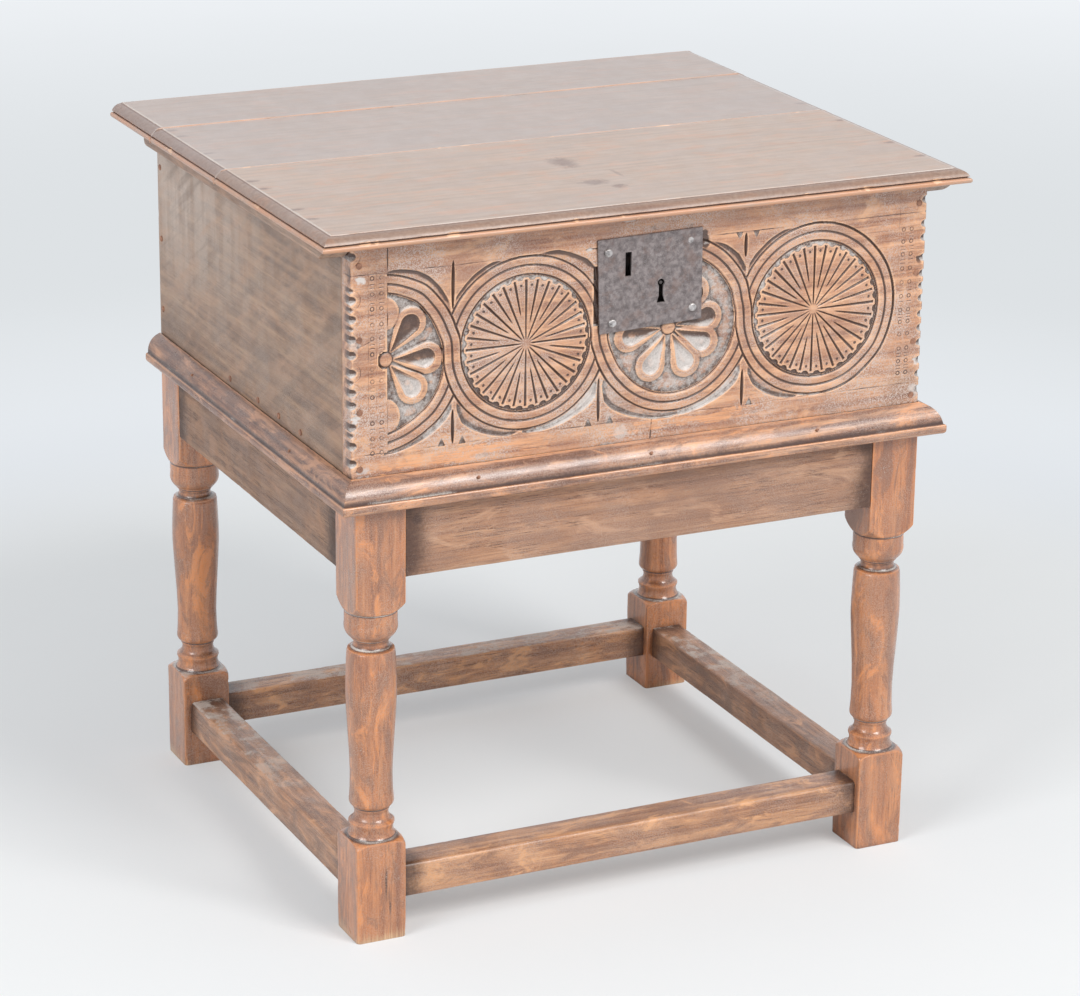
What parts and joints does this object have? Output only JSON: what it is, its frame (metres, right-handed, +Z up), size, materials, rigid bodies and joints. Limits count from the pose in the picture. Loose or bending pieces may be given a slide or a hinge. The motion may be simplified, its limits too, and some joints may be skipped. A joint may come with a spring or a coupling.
{
  "type": "bible box on stand",
  "caption": "Boarded oak box with a carved front, a nailed three-board lid on iron hinges and an iron plate lock, set in the moulded rim of a joined stand on turned legs.",
  "frame": {"origin": "on the floor under the middle of the lid, which reaches furthest each way", "axes": "+X to the right seen from the front, +Y to the back, +Z up"},
  "size_m": [0.675, 0.577, 0.7074],
  "materials": {
    "stand_oak": "worn wax polish",
    "moulding_oak": "dark glossy polish, worn orange on the edges",
    "box_oak": "carved, polished, dusty in the hollows",
    "side_oak": "dry brown-grey, plane marks",
    "inside_oak": "bare, unpolished",
    "lid_oak": "dull satin polish, scratched",
    "lock_iron": "forged, dark, mottled",
    "nail_iron": "forged, dark"
  },
  "bodies": {
    "stand": {"leg_front_left": "stand_oak", "leg_front_right": "stand_oak", "leg_back_left": "stand_oak", "leg_back_right": "stand_oak", "rail_front": "stand_oak", "rail_back": "stand_oak", "rail_left": "stand_oak", "rail_right": "stand_oak", "stretcher_front": "stand_oak", "stretcher_back": "stand_oak", "stretcher_left": "stand_oak", "stretcher_right": "stand_oak", "moulding_front": "moulding_oak", "moulding_left": "moulding_oak", "moulding_right": "moulding_oak", "moulding_sprigs": "nail_iron"},
    "box": {"front_board": "box_oak", "back_board": "side_oak", "side_left": "side_oak", "side_right": "side_oak", "bottom_board_front": "inside_oak", "bottom_board_back": "inside_oak", "front_nails": "nail_iron", "back_nails": "nail_iron", "bottom_nails": "nail_iron", "lock_plate": "lock_iron", "lock_plate_nails": "nail_iron", "bolt_guides": "lock_iron", "bolt_spring": "lock_iron", "key_post": "lock_iron", "lock_cap": "lock_iron", "hinge_left_box_leaf": "lock_iron", "hinge_right_box_leaf": "lock_iron", "hinge_pins": "lock_iron", "hinge_box_nails": "nail_iron"},
    "lid": {"lid_board_front": "lid_oak", "lid_board_middle": "lid_oak", "lid_board_back": "lid_oak", "cleat_left": "lid_oak", "cleat_right": "lid_oak", "lid_nails": "nail_iron", "hinge_left_lid_leaf": "lock_iron", "hinge_right_lid_leaf": "lock_iron", "hinge_lid_nails": "nail_iron"},
    "bolt": {"lock_bolt": "lock_iron"}
  },
  "joints": [
    {"name": "box_lift", "type": "slide", "parent": "stand", "child": "box", "axis": [0, 0, 1], "range_m": [0, 0.04]},
    {"name": "lid_hinge", "type": "hinge", "parent": "box", "child": "lid", "pos_m": [0, 0.2543, 0.6883], "axis": [-1, 0, 0], "range_deg": [0, 95]},
    {"name": "bolt_throw", "type": "slide", "parent": "box", "child": "bolt", "axis": [-1, 0, 0], "range_m": [0, 0.012]}
  ]
}
